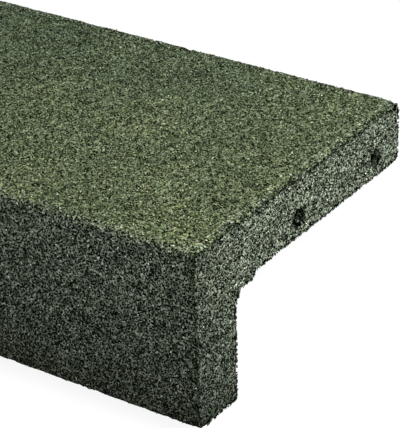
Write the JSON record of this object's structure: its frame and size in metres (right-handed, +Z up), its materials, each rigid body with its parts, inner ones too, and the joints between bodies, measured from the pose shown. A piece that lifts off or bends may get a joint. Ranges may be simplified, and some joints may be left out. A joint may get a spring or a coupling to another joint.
{
  "type": "rubber lawn edging",
  "caption": "L-shaped edging block of bonded rubber granules: a slab that lies over a kerb or border, a leg that hangs in front of it, and blind dowel holes in the ends.",
  "frame": {"origin": "on the floor at mid length: the bottom centre of the block's box as it lies at rest", "axes": "+X along the length, +Y from the front face towards the slab's rear edge, +Z up. The block lies leaned back about X from the way it is laid, on the rear edge of its foot and the lower rear edge of its slab"},
  "size_m": [1, 0.324, 0.1562],
  "materials": {
    "rubber_granulate": "rough bonded granules, dark green"
  },
  "bodies": {
    "root": {"edging_block": "rubber_granulate"}
  },
  "joints": []
}
